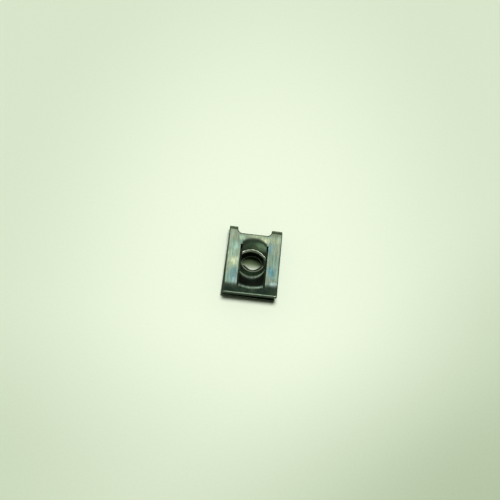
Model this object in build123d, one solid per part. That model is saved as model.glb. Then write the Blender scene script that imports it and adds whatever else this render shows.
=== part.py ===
# Clip-on sheet metal nut, folded from one strip of spring steel.
# Two legs lie one over the other and are joined by a fold at the far end, +Y.
# A panel is pushed in between them from the open end, -Y.
# The lower leg rests flat and has a clearance hole for the screw.
# The upper leg carries two lanced prongs, whose notched tips form one turn of thread.
# It is drawn about the prongs' axis and moved at the end, because that axis and the hole's are a little apart.
# Origin: on the axis of the screw hole, at the underside of the lower leg. +Z is up.
import os
from math import cos, radians, sin, sqrt, tan

from build123d import *

# Sheet and outer size, in millimetres and degrees
SHEET = 0.8
WIDTH = 14.5
PANEL_GAP = 1.3
OPEN_END = -9.35
FAR_END = 10.85
CORNER_RADIUS = 0.3
EDGE_RADIUS = 0.22
NOTCH_EDGE_RADIUS = 0.35

# Fold: outer radius and the heights that follow from it
FOLD_RADIUS = SHEET + PANEL_GAP / 2
FOLD_START = FAR_END - FOLD_RADIUS
TOP = 2 * FOLD_RADIUS
MID_HEIGHT = FOLD_RADIUS

# The fold line is a little askew, so the lower leg points to the left by twice that angle
FOLD_SKEW = -0.7
LEG_SKEW = 2 * FOLD_SKEW
SKEW_CENTRE = FOLD_START + FOLD_RADIUS / 2

# Lead-in lip at the upper leg's free end. Its bend line is askew too.
LIP_START = -6.47
LIP_ANGLE = 13
LIP_BEND_RADIUS = 4.5
LIP_SKEW = 2.3

# Window that splits the fold into two straps
WINDOW_EDGE = 8.62
WINDOW_WIDTH = 9.2
WINDOW_SHIFT = -0.3
WINDOW_CORNER = 1.3

# Hole in the lower leg and slits beside the prongs
SCREW_HOLE_RADIUS = 2.9
PRONG_WIDTH = 6.6
SLIT_WIDTH = 0.5
SLIT_FAR_END = 5.4
SLIT_NEAR_END = -6.95

# Prongs. Distances are measured outwards from the prongs' axis.
SECTIONS = 9
PRONG_END = 0.3
PRONG_OVERLAP = 0.3
POCKET_BELOW_SHEET = 0.45

# Notches in the prongs' tips: an arc in the far one and a V with shoulders in the near one
ARC_RADIUS = 4.2
ARC_SHIFT = -0.4
VEE_ANGLE = 38
VEE_DEPTH = 1.8
VEE_ROUND = 1.8

# Length by which a cutting block stands clear of what it cuts
SPARE = 3.0

# Least upward or downward part of its normal with which a face counts as an outer face
OUTER_FACE = 0.5


class Prong:
    """One prong: it starts at its root arc, climbs to its crest arc and goes on at another slope to its tip."""

    def __init__(self, stub, root, crest, crest_height, slopes, twist, bend_radii, tip_reach):
        self.stub = stub
        self.root_apex, self.root_arc = root
        self.crest_apex, self.crest_arc, self.crest_shift = crest
        self.crest_height = crest_height
        self.start_slope, self.rim_slope = slopes
        self.twist = twist
        self.bend_radii = bend_radii
        self.tip_reach = tip_reach

    def start_height(self, reach, x):
        """Height of the leg's top face, above its flat, outside the prong's root."""
        askew = radians(LIP_SKEW)
        beyond_bend = (reach + LIP_START) * cos(askew) + x * sin(askew)
        return tan(radians(self.start_slope)) * beyond_bend

    def corners(self, x):
        """The four corners of the top face's path at one place across the prong, as reach and height."""
        lean = 1 + self.twist * x / (PRONG_WIDTH / 2)
        root = arc_reach(self.root_apex, self.root_arc, x)
        crest = arc_reach(self.crest_apex, self.crest_arc, x - self.crest_shift)
        start = self.stub + PRONG_OVERLAP
        end_height = self.crest_height + tan(radians(self.rim_slope)) * (crest - PRONG_END)
        return [
            (start, self.start_height(start, x)),
            (root, self.start_height(root, x)),
            (crest, lean * self.crest_height),
            (PRONG_END, lean * end_height),
        ]

    def tip_plane(self):
        """Plane on the top face at the notch's deepest point, with its y axis along the prong, outwards."""
        crest, crest_height = self.corners(0)[2]
        slope = radians(self.rim_slope)
        height = crest_height + tan(slope) * (crest - self.tip_reach)
        return Plane(
            origin=(0, self.tip_reach, TOP + height),
            x_dir=(1, 0, 0),
            z_dir=(0, sin(slope), cos(slope)),
        )


def arc_reach(apex, radius, x):
    """Reach at x of a plan arc that bulges away from the prongs' axis."""
    return apex - radius + sqrt(radius**2 - x**2)


FAR_PRONG = Prong(
    stub=7.5,
    root=(6.87, 4.3),
    crest=(4.75, 4.6, 0),
    crest_height=1.13,
    slopes=(0, 23),
    twist=-0.14,
    bend_radii=[3.0, 3.0],
    tip_reach=2.93,
)
NEAR_PRONG = Prong(
    stub=8.1,
    root=(7.25, 8.3),
    crest=(4.8, 3.9, -0.4),
    crest_height=1.42,
    slopes=(LIP_ANGLE, -17),
    twist=0.06,
    bend_radii=[1.8, 2.0],
    tip_reach=2.65,
)


def turned(shape, angle, y):
    """A shape turned about an upright line through a point on the y axis."""
    return Pos(0, y, 0) * Rot(0, 0, angle) * Pos(0, -y, 0) * shape


def sheet_face(plane, corners, radii):
    """Cross-section of the sheet: a path of its top face, rounded at its bends, and made as thick as the sheet."""
    with BuildSketch(plane) as section:
        with BuildLine():
            FilletPolyline(*corners, radius=radii)
            offset(amount=SHEET, side=Side.LEFT)
        make_face()
    return section.sketch


def folded_strip():
    """Lower leg, fold and flat of the upper leg as bent, wider than the legs."""
    with BuildSketch(Plane.YZ) as section:
        with BuildLine():
            lower = Line((OPEN_END - SPARE, 0), (FOLD_START, 0))
            fold = TangentArc(lower @ 1, (FOLD_START, TOP), tangent=lower % 1)
            Line(fold @ 1, (-SPARE, TOP))
            offset(amount=SHEET, side=Side.LEFT)
        make_face()
    strip = extrude(section.sketch, WIDTH / 2 + SPARE, both=True)
    return turned(strip, FOLD_SKEW, SKEW_CENTRE)


def lip_top(y):
    """Height of the lip's top face over the middle of the strip."""
    return TOP + tan(radians(LIP_ANGLE)) * (LIP_START - y)


def lip_strip():
    """Flat of the upper leg and its lip as bent, wider and longer than the leg."""
    end = OPEN_END - SPARE
    path = [(SPARE, TOP), (LIP_START, TOP), (end, lip_top(end))]
    strip = extrude(sheet_face(Plane.YZ, path, LIP_BEND_RADIUS), WIDTH / 2 + SPARE, both=True)
    return turned(strip, LIP_SKEW, LIP_START)


def outline_block(plane, length, depth):
    """Block that trims a leg to its width, with rounded corners at the plane's origin, square to the plane."""
    with BuildSketch(plane) as block:
        with Locations((0, length / 2)):
            Rectangle(WIDTH, length)
        fillet(block.vertices().group_by(Axis.Y)[0], CORNER_RADIUS)
    return extrude(block.sketch, depth, both=True)


def fold_window():
    """Block that cuts the window through the fold, with rounded corners on its edge across the legs."""
    length = FAR_END + SPARE - WINDOW_EDGE
    with BuildPart() as block:
        with BuildSketch(Plane.XY.offset(-SPARE)):
            with Locations((WINDOW_SHIFT, WINDOW_EDGE + length / 2)):
                outline = Rectangle(WINDOW_WIDTH, length)
            fillet(outline.vertices().group_by(Axis.Y)[0], WINDOW_CORNER)
        extrude(amount=TOP + 2 * SPARE)
    return block.part


def outer_rim(shape, up):
    """Edges all round the sheet's outer face, which looks up or down."""
    outer_faces = [face for face in shape.faces() if face.normal_at().Z * up > OUTER_FACE]
    edges = [edge for face in outer_faces for edge in face.edges()]
    return [edge for edge in edges if sum(edge.is_same(other) for other in edges) == 1]


def rounded_leg(leg, up):
    """A leg with the edges of its outer face rounded, as blanking leaves them, up to the middle of the fold."""
    rim = [edge for edge in outer_rim(leg, up) if abs(edge.center().Z - MID_HEIGHT) > EDGE_RADIUS]
    return fillet(rim, EDGE_RADIUS)


def lower_leg():
    """Plain leg with its half of the fold, pierced for the screw."""
    origin = (0, OPEN_END, MID_HEIGHT / 2)
    block = outline_block(Plane(origin), FAR_END + SPARE - OPEN_END, MID_HEIGHT / 2)
    leg = folded_strip() & turned(block, LEG_SKEW, SKEW_CENTRE)
    leg = rounded_leg(leg - fold_window(), -1)
    return leg - turned(Cylinder(SCREW_HOLE_RADIUS, 2 * SPARE), LEG_SKEW, SKEW_CENTRE)


def upper_leg():
    """Leg with the lip and its half of the fold, slit for the prongs, whose place is left empty."""
    angle = radians(LIP_ANGLE)
    lip_plane = Plane(
        origin=(0, OPEN_END, lip_top(OPEN_END)),
        x_dir=(1, 0, 0),
        z_dir=(0, sin(angle), cos(angle)),
    )
    lip = lip_strip() & outline_block(lip_plane, -OPEN_END, SPARE)
    flat_plane = Plane((0, -SPARE, MID_HEIGHT + SPARE))
    flat = folded_strip() & outline_block(flat_plane, FAR_END + 2 * SPARE, SPARE)
    leg = rounded_leg(flat + lip - fold_window(), 1)
    return leg - prong_pocket() - slits()


def prong_pocket():
    """Block of the prongs' place in the upper leg, with its near end square to the lip."""
    angle = radians(LIP_ANGLE)
    near_top = Vector(-NEAR_PRONG.stub, lip_top(-NEAR_PRONG.stub))
    square = Vector(sin(angle), cos(angle))
    corners = [
        near_top + square * SPARE,
        near_top - square * (SHEET + POCKET_BELOW_SHEET),
        Vector(FAR_PRONG.stub, MID_HEIGHT),
        Vector(FAR_PRONG.stub, TOP + SPARE),
    ]
    with BuildSketch(Plane.YZ) as section:
        with BuildLine():
            Polyline(*corners, close=True)
        make_face()
    return extrude(section.sketch, PRONG_WIDTH / 2, both=True)


def slits():
    """Blocks that cut the two slits between the prongs and the side strips."""
    length = SLIT_FAR_END - SLIT_NEAR_END
    middle = (SLIT_FAR_END + SLIT_NEAR_END) / 2
    reach = PRONG_WIDTH / 2 + SLIT_WIDTH / 2
    block = Box(SLIT_WIDTH, length, 2 * SPARE)
    return [Pos(side * reach, middle, MID_HEIGHT + SPARE) * block for side in (-1, 1)]


def arc_notch(plane):
    """Round block whose outermost point lies at the plane's origin, a little to one side."""
    with BuildSketch(plane) as outline:
        with Locations((ARC_SHIFT, -ARC_RADIUS)):
            Circle(ARC_RADIUS)
    return extrude(outline.sketch, SPARE, both=True)


def vee_notch(plane):
    """Block with a V, whose tip lies at the plane's origin, and a shoulder on each side of it."""
    half = VEE_DEPTH / tan(radians(VEE_ANGLE))
    side = PRONG_WIDTH
    end = VEE_DEPTH + 2 * SPARE
    right = [(half, -VEE_DEPTH), (side, -VEE_DEPTH), (side, -end)]
    left = [(-x, y) for x, y in reversed(right)]
    with BuildSketch(plane) as outline:
        with BuildLine():
            Polyline((0, 0), *right, *left, close=True)
        make_face()
        fillet(outline.vertices().sort_by(Axis.Y)[-1], VEE_ROUND)
    return extrude(outline.sketch, SPARE, both=True)


def formed_prong(prong):
    """A prong, not yet notched, as a loft across its width through sections that follow its arcs and its twist."""
    step = PRONG_WIDTH / (SECTIONS - 1)
    faces = []
    for index in range(SECTIONS):
        x = -PRONG_WIDTH / 2 + index * step
        plane = Plane(origin=(x, 0, TOP), x_dir=(0, 1, 0), z_dir=(1, 0, 0))
        faces.append(sheet_face(plane, prong.corners(x), prong.bend_radii))
    return loft(faces)


def rounded_vee(prong):
    """A notched prong with the upper edges of its V and shoulders rounded."""
    side = PRONG_WIDTH / 2 - NOTCH_EDGE_RADIUS
    rim = [edge for edge in outer_rim(prong, 1) if abs(edge.center().X) < side]
    return fillet([edge for edge in rim if edge.center().Y < NEAR_PRONG.tip_reach], NOTCH_EDGE_RADIUS)


def spring_nut():
    """The nut: two legs joined at the fold, with both prongs in the upper one."""
    far = formed_prong(FAR_PRONG) - arc_notch(FAR_PRONG.tip_plane())
    near = rounded_vee(formed_prong(NEAR_PRONG) - vee_notch(NEAR_PRONG.tip_plane()))
    pocket = prong_pocket()
    upper = upper_leg() + (far & pocket) + (mirror(near, about=Plane.XZ) & pocket)
    askew = radians(LEG_SKEW)
    hole_centre = Pos(SKEW_CENTRE * sin(askew), SKEW_CENTRE * (1 - cos(askew)), 0)
    return hole_centre.inverse() * (upper + lower_leg())


os.makedirs("parts", exist_ok=True)
nut = spring_nut()
nut.label = "spring_nut"
print("solids", len(nut.solids()), "volume", round(nut.volume, 1), "box", nut.bounding_box())
export_step(nut, "parts/spring_nut.step")
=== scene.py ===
from math import cos, radians, sin

import bpy
from mathutils import Matrix, Vector

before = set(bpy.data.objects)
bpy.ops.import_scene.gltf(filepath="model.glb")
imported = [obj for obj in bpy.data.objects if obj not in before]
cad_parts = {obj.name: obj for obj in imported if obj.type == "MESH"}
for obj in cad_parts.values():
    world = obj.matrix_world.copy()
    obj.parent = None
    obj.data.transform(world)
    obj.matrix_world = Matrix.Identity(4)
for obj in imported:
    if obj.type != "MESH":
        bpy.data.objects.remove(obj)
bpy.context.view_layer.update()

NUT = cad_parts["spring_nut"]
STRIP_TOP = 0.0029
PRONG_AXIS = Vector((0.00025, 0, STRIP_TOP))
MILLIMETRES = 1000

# The photograph's view: a picture of 500 by 500 pixels, in which the focal length is 1000 pixels
PICTURE = 500
FOCAL = 1000
SENSOR = 36
CLIP_START = 0.001
VIEW_AZIMUTH = radians(-2.8)
VIEW_ELEVATION = radians(65)
VIEW_ROLL = radians(9.1)
VIEW_DISTANCE = 0.2693
AXIS_PIXEL = (252.9, 263.0)

# Lamp: strength, apparent width and direction, as azimuth from the far side and elevation
LAMP_STRENGTH = 2.7
LAMP_WIDTH = radians(25)
LAMP_AZIMUTH = radians(16)
LAMP_ELEVATION = radians(76)

# Room: colours of the walls and of what is above them, on the far side and behind the camera.
# The ramps follow the upward and the far-going part of a direction.
FAR_WALL = (0.82, 0.92, 0.76, 1)
FAR_CEILING = (0.20, 0.235, 0.185, 1)
NEAR_WALL = (0.36, 0.40, 0.31, 1)
NEAR_CEILING = (0.045, 0.05, 0.04, 1)
WALL_RAMP = (0.5, 0.10)
FAR_SIDE_RAMP = (-0.25, 0.45)
HORIZON_RAMP = (0.10, 0.04)

# Table top. It gets darker with the distance from the nut, which counts less lengthwise, towards
# the near side and towards the near right corner; this darkening is painted shade. Paper is its grain.
TABLE_SIZE = 6
TABLE_ROUGHNESS = 0.6
TABLE_COLOUR = (0.84, 0.915, 0.735, 1)
TABLE_SHADE = (0.40, 0.49, 0.32, 1)
TABLE_STRETCH = (1, 0.6, 1)
AWAY_RAMP = (12, 75, 0, 0.37)
NEAR_RAMP = (-14, -60, 0, 0.24)
CORNER_RAMP = (35, 110, 0, 0.35)
PAPER_CELLS = (1.4, 1.4, 1.4)
PAPER_DETAIL = 3
PAPER_RAMP = (0.3, 0.7, 0, 0.03)

# Painted shadow: a soft dark patch in the table's colour, under the nut's opening
PAINTED_SHADOW = (0.075, 0.125, 0.030, 1)
SHADOW_NEAR_RAMP = (-1.7, 1.2)
SHADOW_FAR_RAMP = (3.6, 2.6)
SHADOW_BAND = (-3.2, 3.6, 0.3)

# Colours of the steel
OLIVE = (0.038, 0.059, 0.043, 1)
GREY = (0.078, 0.096, 0.060, 1)
GREEN = (0.078, 0.107, 0.072, 1)
CYAN = (0.066, 0.107, 0.085, 1)
STRAW = (0.125, 0.143, 0.089, 1)
BLUE = (0.014, 0.043, 0.053, 1)
PALE_BLUE = (0.096, 0.137, 0.140, 1)
LIGHT_BLUE = (0.048, 0.088, 0.096, 1)
DARK_OLIVE = (0.036, 0.046, 0.026, 1)
SLATE = (0.036, 0.066, 0.066, 1)
DEEP_SLATE = (0.024, 0.036, 0.030, 1)
INNER_OLIVE = (0.034, 0.050, 0.028, 1)
WALL_OLIVE = (0.080, 0.110, 0.064, 1)
WARM_GREY = (0.064, 0.076, 0.050, 1)
WARM_OLIVE = (0.058, 0.068, 0.044, 1)
COOL_SLATE = (0.044, 0.078, 0.070, 1)
LIP_GREEN = (0.022, 0.043, 0.027, 1)
LIP_BLUE = (0.014, 0.030, 0.024, 1)
LIP_PALE = (0.048, 0.075, 0.045, 1)
FOLD_OLIVE = (0.112, 0.150, 0.086, 1)
PRONG_GREEN = (0.162, 0.246, 0.156, 1)
PRONG_BROWN = (0.076, 0.098, 0.051, 1)
FAR_OLIVE = (0.040, 0.072, 0.041, 1)
RIM_GREEN = (0.023, 0.048, 0.021, 1)
# Black of the prongs' oil; the same black is painted shade in the recesses
OIL_BLACK_AND_SHADE = (0.021, 0.029, 0.019, 1)
BARE = (0.47, 0.54, 0.40, 1)
PAINTED_GLINT_WHITE = (0.85, 0.86, 0.78, 1)

# Temper tints of the upper leg and its lip, as soft round patches: centre, radii and colour
STRIP_PATCHES = (
    ((-5.6, 0.8), (3.8, 6.8), GREEN),
    ((-6.0, 8.2), (3.4, 3.0), WARM_GREY),
    ((0.4, 7.8), (4.8, 2.2), GREY),
    ((-3.5, 7.3), (1.3, 1.2), GREEN),
    ((3.0, 6.9), (1.7, 1.5), STRAW),
    ((6.0, 7.4), (3.4, 1.9), GREY),
    ((5.9, 9.4), (3.6, 1.2), DARK_OLIVE),
    ((-4.7, 3.6), (1.5, 3.4), CYAN),
    ((-5.2, -0.2), (2.0, 1.9), STRAW),
    ((-4.4, 0.9), (0.7, 1.0), STRAW),
    ((-4.7, -3.5), (1.7, 3.3), BLUE),
    ((-4.2, -5.7), (1.3, 1.6), LIGHT_BLUE),
    ((-6.6, -5.4), (1.7, 2.4), OLIVE),
    ((6.3, 4.6), (1.7, 2.8), WARM_GREY),
    ((4.7, 4.9), (1.0, 2.4), SLATE),
    ((5.3, -2.2), (1.5, 2.6), BLUE),
    ((4.8, -4.6), (2.2, 1.9), DEEP_SLATE),
    ((6.3, -5.7), (1.2, 1.1), PALE_BLUE),
    ((0.2, -9.6), (14, 3.2), LIP_GREEN),
    ((-6.0, -8.2), (3.2, 1.6), LIP_BLUE),
    ((7.0, -8.4), (2.2, 1.6), LIP_PALE),
)

# Tints of the prongs in the same form, on their oil-black ground
PRONG_PATCHES = (
    ((0.2, 4.8), (4.5, 3.4), FAR_OLIVE),
    ((2.4, 4.7), (2.9, 2.4), PRONG_GREEN),
    ((0.4, 3.8), (1.4, 1.1), PRONG_BROWN),
    ((-2.8, 5.6), (2.0, 1.4), OIL_BLACK_AND_SHADE),
    ((0.2, -3.4), (3.6, 1.0), RIM_GREEN),
)

# Painted highlights: the brightest places of the bare steel, at the corners of the far prong's notch
PAINTED_GLINTS = (
    ((-2.7, 2.2), (0.8, 0.8), PAINTED_GLINT_WHITE),
    ((2.1, 1.8), (0.8, 0.8), PAINTED_GLINT_WHITE),
)
PATCH_RAMP = (1.0, 0.15)

# Noises of the steel: cells per millimetre along each axis, and detail
GRAIN = ((5, 0.35, 5), 4)
FINE_GRAIN = ((22, 1.2, 22), 2)
CLOUD = ((0.42, 0.30, 0.42), 2)
SPECK = ((9, 9, 9), 3)
MOTTLE = ((1.3, 0.8, 1.3), 2)

# Mixing of the tints by those noises. The mottle lies on the strips, and ends before the lip.
CLOUD_GREY_RAMP = (0.45, 0.65, 0, 0.35)
MOTTLE_WARM_RAMP = (0.48, 0.64, 0, 0.5)
MOTTLE_COOL_RAMP = (0.48, 0.34, 0, 0.3)
MOTTLE_END_RAMP = (-6.9, -6.2)
STREAK_RAMP = (0.3, 0.7, 0.72, 1.30)
FINE_STREAK_RAMP = (0.3, 0.7, 0.86, 1.14)

# Zones of the steel. Aside is the distance sideways from the prongs' axis, along is the distance
# lengthwise from it, and facing is a part of the normal.
SLIT_ASIDE_BAND = (3.15, 3.95, 0.1)
SLIT_Y_BAND = (-7.1, 5.5, 0.1)
SLIT_WALL_FACING_Z = (0.7, 0.5)
WINDOW_EDGE_Y_BAND = (8.4, 8.7, 0.12)
WINDOW_EDGE_X_BAND = (-4.0, 3.9, 0.3)
INNER_HEIGHT = (2.0, 1.9)
INNER_FACING_Z = (0.5, 0.8)
BENT_HEIGHT = (2.98, 3.3)
BENT_ASIDE = (3.6, 3.4)
BENT_ALONG = (8.0, 7.6)
FOLD_FACING_Y = (0.15, 0.35)
FOLD_Y = (9.2, 9.6)
HOLE_WALL_FACING_Z = (0.5, 0.3)
HOLE_WALL_HEIGHT = (1.2, 1.0)
HOLE_WALL_ALONG = (3.5, 3.2)
HOLE_WALL_ASIDE = (4.0, 3.6)

# Worn edges: radius of the softened edge, how far the normal turns there, and the lip's end, whose bare
# line is wear and also a painted highlight
EDGE_RADIUS = 0.0003
EDGE_SAMPLES = 8
EDGE_TURN = (0.99, 0.90)
EDGE_UPWARD = (0.2, 0.4)
LIP_EDGE_FACING_Y = (-0.05, -0.2)
LIP_EDGE_FACING_Z = (0.4, 0.6)
LIP_EDGE_Y = (-8.9, -9.0)
LIP_EDGE_WEAR_AND_HIGHLIGHT = 0.7

# Sheared face of the far prong's notch, bare steel painted lighter as a highlight, and the arc on the near
# prong's rim, painted bare as a highlight
NOTCH_Y_BAND = (-0.5, 3.4, 0.2)
NOTCH_ASIDE = (3.25, 3.2)
NOTCH_FACING_Z = (0.62, 0.5)
NOTCH_HEIGHT = (2.2, 2.4)
# Painted highlight on the near prong's rim, as an arc of bare steel
RIM_HIGHLIGHT_CENTRE = (0.2, 0.13, 0)
RIM_HIGHLIGHT_RADIUS_BAND = (2.9, 3.12, 0.12)
RIM_HIGHLIGHT_HEIGHT = (3.1, 3.3)
RIM_HIGHLIGHT_Y = (0.0, -0.5)
RIM_HIGHLIGHT_STRENGTH = 0.8
PATCHY_RAMP = (0.35, 0.6, 0.45, 1.0)
FLATTEN = (1, 1, 0)

# Gloss and relief of the steel
METALLIC = 0.92
SHEARED_DULLNESS = 0.6
CLOUD_ROUGHNESS = (0.35, 0.65, 0.30, 0.36)
FINE_ROUGHNESS = (0.3, 0.7, 0, 0.06)
INNER_ROUGHNESS = INNER_HEIGHT + (0, 0.35)
GRAIN_RELIEF = 0.6
FINE_RELIEF = 0.2
SPECK_RELIEF = 0.25
RELIEF_DEPTH = 0.000006


def direction(azimuth, elevation):
    """Direction from the origin, with the azimuth measured from the far side to the right."""
    level = cos(elevation)
    return Vector((sin(azimuth) * level, cos(azimuth) * level, sin(elevation)))


def add_camera():
    """Camera that sees the prongs' axis, at the strip's top, at the photograph's pixel."""
    right = Vector((cos(VIEW_AZIMUTH), sin(VIEW_AZIMUTH), 0))
    ahead = direction(-VIEW_AZIMUTH, -VIEW_ELEVATION)
    up = right.cross(ahead)
    rolled_right = right * cos(VIEW_ROLL) + up * sin(VIEW_ROLL)
    rolled_up = up * cos(VIEW_ROLL) - right * sin(VIEW_ROLL)
    pixel = VIEW_DISTANCE / FOCAL
    aside = (PICTURE / 2 - AXIS_PIXEL[0]) * pixel
    above = (AXIS_PIXEL[1] - PICTURE / 2) * pixel
    place = PRONG_AXIS + rolled_right * aside + rolled_up * above - ahead * VIEW_DISTANCE
    data = bpy.data.cameras.new("camera")
    data.sensor_width = SENSOR
    data.lens = SENSOR * FOCAL / PICTURE
    data.clip_start = CLIP_START
    camera = bpy.data.objects.new("camera", data)
    bpy.context.scene.collection.objects.link(camera)
    axes = Matrix((rolled_right, rolled_up, -ahead)).transposed()
    camera.matrix_world = Matrix.Translation(place) @ axes.to_4x4()
    bpy.context.scene.camera = camera


def add_lamp():
    """One high, soft lamp on the far side, a little to the right."""
    data = bpy.data.lights.new("lamp", "SUN")
    data.energy = LAMP_STRENGTH
    data.angle = LAMP_WIDTH
    lamp = bpy.data.objects.new("lamp", data)
    bpy.context.scene.collection.objects.link(lamp)
    toward = direction(LAMP_AZIMUTH, LAMP_ELEVATION)
    lamp.rotation_mode = "QUATERNION"
    lamp.rotation_quaternion = toward.to_track_quat("Z", "Y")


class Shades:
    """Short calls that add nodes to a tree. Each one returns the output socket of its node."""

    def __init__(self, tree):
        self.nodes = tree.nodes
        self.links = tree.links

    def add(self, kind, **settings):
        """A new node with the given settings."""
        node = self.nodes.new(kind)
        for name, value in settings.items():
            setattr(node, name, value)
        return node

    def put(self, socket, value):
        """Feed an input socket from another socket or with a constant."""
        if isinstance(value, bpy.types.NodeSocket):
            self.links.new(value, socket)
        else:
            socket.default_value = value

    def feed(self, node, values):
        """Feed the first inputs of a node, in their order."""
        for socket, value in zip(node.inputs, values):
            self.put(socket, value)

    def math(self, operation, *values):
        """Result of a calculation with one or two numbers."""
        node = self.add("ShaderNodeMath", operation=operation)
        self.feed(node, values)
        return node.outputs[0]

    def joined(self, operation, values):
        """One number made from several by the same calculation, two at a time."""
        result, *others = values
        for value in others:
            result = self.math(operation, result, value)
        return result

    def product(self, *values):
        """All the values multiplied."""
        return self.joined("MULTIPLY", values)

    def total(self, *values):
        """All the values added."""
        return self.joined("ADD", values)

    def highest(self, *values):
        """The highest of the values."""
        return self.joined("MAXIMUM", values)

    def rise(self, value, ramp):
        """Level of a soft step, for a value on its ramp."""
        start, end, *levels = ramp
        node = self.add("ShaderNodeMapRange", interpolation_type="SMOOTHSTEP")
        self.feed(node, (value, start, end, *levels))
        return node.outputs[0]

    def band(self, value, limits):
        """1 where a value lies between two limits, and 0 beyond them, with soft ends."""
        low, high, soft = limits
        return self.product(self.rise(value, (low - soft, low)), self.rise(value, (high + soft, high)))

    def vector(self, operation, *vectors):
        """Node that calculates with one or two vectors."""
        node = self.add("ShaderNodeVectorMath", operation=operation)
        self.feed(node, vectors)
        return node

    def stretch(self, place, factors):
        """A position scaled along its axes."""
        return self.vector("MULTIPLY", place, factors).outputs[0]

    def noise(self, place, cells, detail):
        """Soft noise, with a number of cells per unit of the position along each axis."""
        node = self.add("ShaderNodeTexNoise")
        self.put(node.inputs["Vector"], self.stretch(place, cells))
        self.put(node.inputs["Scale"], 1.0)
        self.put(node.inputs["Detail"], detail)
        return node.outputs["Fac"]

    def blend(self, factor, first, second, kind="MIX"):
        """Two colours mixed by a factor."""
        node = self.add("ShaderNodeMix", data_type="RGBA", blend_type=kind)
        self.put(node.inputs["Factor"], factor)
        self.put(node.inputs[6], first)
        self.put(node.inputs[7], second)
        return node.outputs[2]

    def split(self, vector):
        """The three components of a vector."""
        node = self.add("ShaderNodeSeparateXYZ")
        self.put(node.inputs[0], vector)
        return node.outputs

    def millimetres(self):
        """Position on the object, in millimetres from its origin."""
        place = self.add("ShaderNodeTexCoord").outputs["Object"]
        return self.stretch(place, (MILLIMETRES, MILLIMETRES, MILLIMETRES))

    def spot(self, at, centre, radii):
        """Soft round patch: 1 at its centre and 0 beyond its radii."""
        across = self.math("DIVIDE", self.math("SUBTRACT", at["X"], centre[0]), radii[0])
        along = self.math("DIVIDE", self.math("SUBTRACT", at["Y"], centre[1]), radii[1])
        square = self.total(self.product(across, across), self.product(along, along))
        return self.rise(self.math("SQRT", square), PATCH_RAMP)

    def patched(self, at, colour, patches):
        """A colour with soft round patches laid over it, one after the other."""
        for centre, radii, patch_colour in patches:
            colour = self.blend(self.spot(at, centre, radii), colour, patch_colour)
        return colour


def add_room():
    """The room around the table: pale walls low down, dimmer above, and dark behind the camera."""
    world = bpy.data.worlds.new("room")
    bpy.context.scene.world = world
    world.use_nodes = True
    shades = Shades(world.node_tree)
    toward = shades.split(shades.add("ShaderNodeTexCoord").outputs["Generated"])
    wall = shades.rise(toward["Z"], WALL_RAMP)
    far = shades.blend(wall, FAR_CEILING, FAR_WALL)
    near = shades.blend(wall, NEAR_CEILING, NEAR_WALL)
    room = shades.blend(shades.rise(toward["Y"], FAR_SIDE_RAMP), near, far)
    room = shades.blend(shades.rise(toward["Z"], HORIZON_RAMP), room, FAR_WALL)
    shades.put(world.node_tree.nodes["Background"].inputs["Color"], room)


def new_material(name, shades_kind):
    """A new material, the helper that adds its nodes, and its main shader."""
    material = bpy.data.materials.new(name)
    material.use_nodes = True
    return material, shades_kind(material.node_tree), material.node_tree.nodes["Principled BSDF"]


def table_colour(shades):
    """Pale colour of the table, with painted shade that makes it a little darker far from the nut, and a
    painted shadow under its opening.
    """
    place = shades.millimetres()
    at = shades.split(place)
    distance = shades.vector("LENGTH", shades.stretch(place, TABLE_STRETCH)).outputs["Value"]
    # Painted shade: darker away from the nut, towards the near side and towards the near right corner
    away = shades.rise(distance, AWAY_RAMP)
    near = shades.rise(at["Y"], NEAR_RAMP)
    corner = shades.rise(shades.math("SUBTRACT", at["X"], at["Y"]), CORNER_RAMP)
    paper = shades.rise(shades.noise(place, PAPER_CELLS, PAPER_DETAIL), PAPER_RAMP)
    table = shades.blend(shades.total(away, corner, near, paper), TABLE_COLOUR, TABLE_SHADE)
    # Painted shadow under the nut's opening, as a darker patch in the table's colour
    opening_shadow = shades.product(
        shades.rise(at["Y"], SHADOW_NEAR_RAMP),
        shades.rise(at["Y"], SHADOW_FAR_RAMP),
        shades.band(at["X"], SHADOW_BAND),
    )
    return shades.blend(opening_shadow, table, PAINTED_SHADOW)


def add_floor():
    """Wide pale table top under the nut."""
    material, shades, shader = new_material("table", Shades)
    shades.put(shader.inputs["Base Color"], table_colour(shades))
    shader.inputs["Roughness"].default_value = TABLE_ROUGHNESS
    bpy.ops.mesh.primitive_plane_add(size=TABLE_SIZE, location=(0, 0, 0))
    floor = bpy.context.object
    floor.name = "table_top"
    floor.data.materials.append(material)


class SteelShades(Shades):
    """Shades of the nut: where a point lies, which way it faces, the slits' zone and the noises."""

    def __init__(self, tree):
        super().__init__(tree)
        self.place = self.millimetres()
        self.at = self.split(self.place)
        axis_x = PRONG_AXIS.x * MILLIMETRES
        self.aside = self.math("ABSOLUTE", self.math("SUBTRACT", self.at["X"], axis_x))
        self.along = self.math("ABSOLUTE", self.at["Y"])
        geometry = self.add("ShaderNodeNewGeometry")
        self.shaded_normal = geometry.outputs["Normal"]
        self.facing = self.split(geometry.outputs["True Normal"])
        self.level = self.math("ABSOLUTE", self.facing["Z"])
        self.slit = self.product(
            self.band(self.aside, SLIT_ASIDE_BAND),
            self.band(self.at["Y"], SLIT_Y_BAND),
        )
        self.grain = self.noise(self.place, *GRAIN)
        self.fine_grain = self.noise(self.place, *FINE_GRAIN)
        self.cloud = self.noise(self.place, *CLOUD)
        self.speck = self.noise(self.place, *SPECK)
        self.mottle = self.noise(self.place, *MOTTLE)


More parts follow.
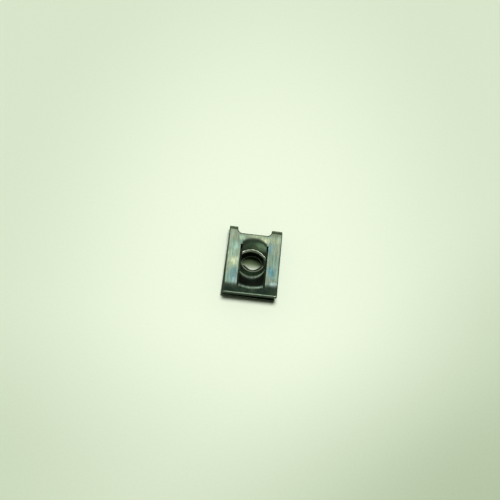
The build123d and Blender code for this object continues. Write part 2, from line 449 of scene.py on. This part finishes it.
def strip_tint(steel):
    """Temper tints of the upper leg and its lip, clouded with grey and mottled warm and cool."""
    tint = steel.patched(steel.at, OLIVE, STRIP_PATCHES)
    tint = steel.blend(steel.rise(steel.cloud, CLOUD_GREY_RAMP), tint, GREY)
    on_strips = steel.rise(steel.at["Y"], MOTTLE_END_RAMP)
    warm = steel.product(steel.rise(steel.mottle, MOTTLE_WARM_RAMP), on_strips)
    cool = steel.product(steel.rise(steel.mottle, MOTTLE_COOL_RAMP), on_strips)
    tint = steel.blend(warm, tint, WARM_OLIVE)
    return steel.blend(cool, tint, COOL_SLATE)


def shaded_recess_zone(steel):
    """Painted shade: the inner faces, the slits' walls and the window's edge, blackened in colour where
    shade falls.
    """
    inner = steel.rise(steel.at["Z"], INNER_HEIGHT)
    slit_walls = steel.product(steel.slit, steel.rise(steel.level, SLIT_WALL_FACING_Z))
    window_edge = steel.product(
        steel.band(steel.at["Y"], WINDOW_EDGE_Y_BAND),
        steel.band(steel.at["X"], WINDOW_EDGE_X_BAND),
    )
    return steel.highest(inner, slit_walls, window_edge)


def bent_zone(steel):
    """The prongs, from where they leave the flat of the upper leg."""
    return steel.product(
        steel.rise(steel.at["Z"], BENT_HEIGHT),
        steel.rise(steel.aside, BENT_ASIDE),
        steel.rise(steel.along, BENT_ALONG),
    )


def fold_zone(steel):
    """Outside of the fold."""
    return steel.product(
        steel.rise(steel.facing["Y"], FOLD_FACING_Y),
        steel.rise(steel.at["Y"], FOLD_Y),
    )


def inner_zone(steel):
    """Upper face of the lower leg, inside the nut."""
    return steel.product(
        steel.rise(steel.at["Z"], INNER_HEIGHT),
        steel.rise(steel.facing["Z"], INNER_FACING_Z),
    )


def hole_wall_zone(steel):
    """Wall of the screw hole."""
    return steel.product(
        steel.rise(steel.level, HOLE_WALL_FACING_Z),
        steel.rise(steel.at["Z"], HOLE_WALL_HEIGHT),
        steel.rise(steel.along, HOLE_WALL_ALONG),
        steel.rise(steel.aside, HOLE_WALL_ASIDE),
    )


def steel_tint(steel):
    """Colour of the steel where it isn't worn, with the streaks of its rolling grain."""
    oil_black_and_shade = steel.patched(steel.at, OIL_BLACK_AND_SHADE, PRONG_PATCHES)
    # The prongs get the oil-black ground; the inner faces, the slits' walls and the window's edge get it
    # as painted shade
    tint = steel.blend(steel.highest(shaded_recess_zone(steel), bent_zone(steel)), strip_tint(steel), oil_black_and_shade)
    tint = steel.blend(fold_zone(steel), tint, FOLD_OLIVE)
    tint = steel.blend(inner_zone(steel), tint, INNER_OLIVE)
    tint = steel.blend(hole_wall_zone(steel), tint, WALL_OLIVE)
    streaks = steel.product(
        steel.rise(steel.grain, STREAK_RAMP),
        steel.rise(steel.fine_grain, FINE_STREAK_RAMP),
    )
    return steel.blend(1.0, tint, streaks, "MULTIPLY")


def softened_normal(steel):
    """Normal that rounds the sharp edges, except in the slits."""
    rounded = steel.add("ShaderNodeBevel", samples=EDGE_SAMPLES)
    rounded.inputs["Radius"].default_value = EDGE_RADIUS
    return steel.blend(steel.slit, rounded.outputs["Normal"], steel.shaded_normal)


def worn_edges(steel, soft_normal):
    """Wear of the edges that look up, and of the end of the lip, whose bare line along its top edge is
    also a painted highlight.
    """
    turn = steel.vector("DOT_PRODUCT", soft_normal, steel.shaded_normal).outputs["Value"]
    upward = steel.rise(steel.split(soft_normal)["Z"], EDGE_UPWARD)
    edge = steel.product(steel.rise(turn, EDGE_TURN), upward)
    # The lip's end: wear, and a painted highlight along its top edge
    lip_edge = steel.product(
        steel.rise(steel.facing["Y"], LIP_EDGE_FACING_Y),
        steel.rise(steel.facing["Z"], LIP_EDGE_FACING_Z),
        steel.rise(steel.at["Y"], LIP_EDGE_Y),
        LIP_EDGE_WEAR_AND_HIGHLIGHT,
    )
    return steel.highest(edge, lip_edge)


def sheared_notch_highlight(steel):
    """Bare, dull face of the far prong's notch, where the steel was sheared, painted lighter and less
    metallic as a highlight.
    """
    return steel.product(
        steel.band(steel.at["Y"], NOTCH_Y_BAND),
        steel.rise(steel.aside, NOTCH_ASIDE),
        steel.rise(steel.level, NOTCH_FACING_Z),
        steel.rise(steel.at["Z"], NOTCH_HEIGHT),
    )


def rim_highlight_arc(steel):
    """Arc about the screw's place on the near prong's rim, painted as bare steel: a painted highlight."""
    flat_place = steel.stretch(steel.place, FLATTEN)
    radius = steel.vector("DISTANCE", flat_place, RIM_HIGHLIGHT_CENTRE).outputs["Value"]
    return steel.product(
        steel.band(radius, RIM_HIGHLIGHT_RADIUS_BAND),
        steel.rise(steel.at["Z"], RIM_HIGHLIGHT_HEIGHT),
        steel.rise(steel.at["Y"], RIM_HIGHLIGHT_Y),
        RIM_HIGHLIGHT_STRENGTH,
    )


def steel_roughness(steel):
    """Roughness, with soft clouds and fine grain, and much rougher on the inner faces."""
    return steel.total(
        steel.rise(steel.cloud, CLOUD_ROUGHNESS),
        steel.rise(steel.fine_grain, FINE_ROUGHNESS),
        steel.rise(steel.at["Z"], INNER_ROUGHNESS),
    )


def steel_relief(steel, soft_normal):
    """Normal of the fine relief that the grain and the specks give the surface."""
    height = steel.total(
        steel.product(steel.grain, GRAIN_RELIEF),
        steel.product(steel.fine_grain, FINE_RELIEF),
        steel.product(steel.speck, SPECK_RELIEF),
    )
    bump = steel.add("ShaderNodeBump")
    steel.put(bump.inputs["Height"], height)
    steel.put(bump.inputs["Distance"], RELIEF_DEPTH)
    steel.put(bump.inputs["Normal"], soft_normal)
    return bump.outputs["Normal"]


def spring_steel():
    """Blued spring steel: temper tints in soft patches, rolling grain lengthwise, worn, bare edges,
    painted highlights on the far notch, the near rim and the lip's end, and painted shade in the recesses.
    """
    material, steel, shader = new_material("spring_steel", SteelShades)
    soft_normal = softened_normal(steel)
    # Wear of the edges, with painted highlights: the sheared notch face, the near prong's rim arc and the
    # lip's end
    sheared_highlight = sheared_notch_highlight(steel)
    wear_and_highlight_places = steel.highest(worn_edges(steel, soft_normal), sheared_highlight, rim_highlight_arc(steel))
    wear_and_highlights = steel.product(wear_and_highlight_places, steel.rise(steel.speck, PATCHY_RAMP))
    # Bare steel, with painted highlights at the corners of the far prong's notch
    bare_and_glints = steel.patched(steel.at, BARE, PAINTED_GLINTS)
    metallic = steel.math("SUBTRACT", METALLIC, steel.product(sheared_highlight, SHEARED_DULLNESS))
    steel.put(shader.inputs["Base Color"], steel.blend(wear_and_highlights, steel_tint(steel), bare_and_glints))
    steel.put(shader.inputs["Metallic"], metallic)
    steel.put(shader.inputs["Roughness"], steel_roughness(steel))
    steel.put(shader.inputs["Normal"], steel_relief(steel, soft_normal))
    return material


add_camera()
add_floor()
add_lamp()
add_room()
NUT.data.materials.clear()
NUT.data.materials.append(spring_steel())

bpy.context.scene.view_settings.view_transform = "Standard"
